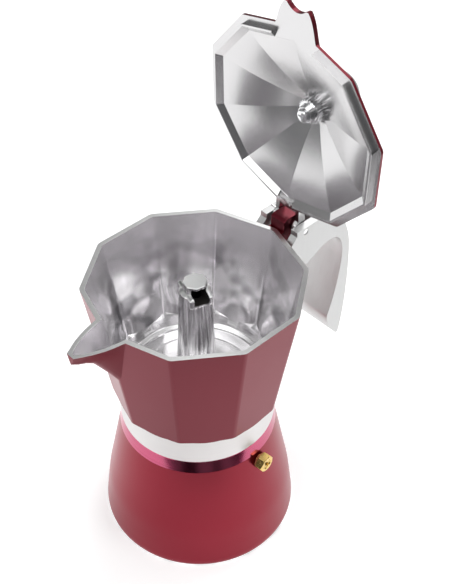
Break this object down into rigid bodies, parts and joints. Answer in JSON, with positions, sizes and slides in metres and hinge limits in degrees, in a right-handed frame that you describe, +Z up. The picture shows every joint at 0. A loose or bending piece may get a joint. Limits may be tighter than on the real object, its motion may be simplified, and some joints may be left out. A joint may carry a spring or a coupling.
{
  "type": "stovetop moka pot",
  "caption": "Ten-sided stovetop coffee maker: boiler, funnel, screw-on upper vessel with spout, strap handle and hinged lid.",
  "frame": {"origin": "middle of the boiler's underside", "axes": "+Z up along the pot's axis, -X towards the spout, +X towards the handle, Y along the lid hinge"},
  "size_m": [0.1771, 0.1134, 0.2944],
  "materials": {
    "red_anodised": "satin metallic red anodised aluminium, bare metal inside and on the band",
    "bare_aluminium": "polished and machined",
    "pressed_aluminium": "bright pressed sheet",
    "satin_chrome": "satin silver",
    "polished_steel": "polished",
    "spring_steel": "bright wire",
    "brass": "turned",
    "fibre_washer": "matt",
    "silicone": "matt off-white"
  },
  "bodies": {
    "boiler": {"boiler": "red_anodised", "valve_body": "brass", "valve_washer": "fibre_washer", "valve_seat": "brass", "valve_spring": "spring_steel"},
    "valve_stem": {"valve_stem": "brass"},
    "funnel": {"funnel_bowl": "pressed_aluminium", "funnel_tube": "pressed_aluminium", "funnel_screen": "pressed_aluminium"},
    "seal": {"gasket": "silicone", "filter_plate": "pressed_aluminium"},
    "upper_vessel": {"vessel": "red_anodised", "riser_column": "bare_aluminium", "handle": "satin_chrome", "hinge_pin": "polished_steel"},
    "lid": {"lid": "red_anodised", "knob": "satin_chrome", "knob_insert": "brass", "knob_bush": "polished_steel", "knob_cap": "polished_steel", "knob_screw": "polished_steel"}
  },
  "joints": [
    {"name": "valve_lift", "type": "slide", "parent": "boiler", "child": "valve_stem", "axis": [0.1045, -0.9945, 0], "range_m": [0, 0.0015], "stiffness_N_per_m": 200, "springref_m": -0.001, "deforming": ["valve_spring"]},
    {"name": "funnel_lift", "type": "slide", "parent": "boiler", "child": "funnel", "axis": [0, 0, 1], "range_m": [0, 0.09]},
    {"name": "thread_rise", "type": "slide", "parent": "funnel", "child": "seal", "axis": [0, 0, 1], "range_m": [0, 0.008]},
    {"name": "unscrew", "type": "hinge", "parent": "seal", "child": "upper_vessel", "pos_m": [0, 0, 0.08], "axis": [0, 0, 1], "range_deg": [0, 720]},
    {"name": "lid_hinge", "type": "hinge", "parent": "upper_vessel", "child": "lid", "pos_m": [0.0646, 0, 0.1649], "axis": [-0.047, -0.9975, -0.0523], "range_deg": [0, 83.8]}
  ],
  "couplings": [
    {"joint": "thread_rise", "follows": "unscrew", "m_per_rad": 0.00063662}
  ]
}
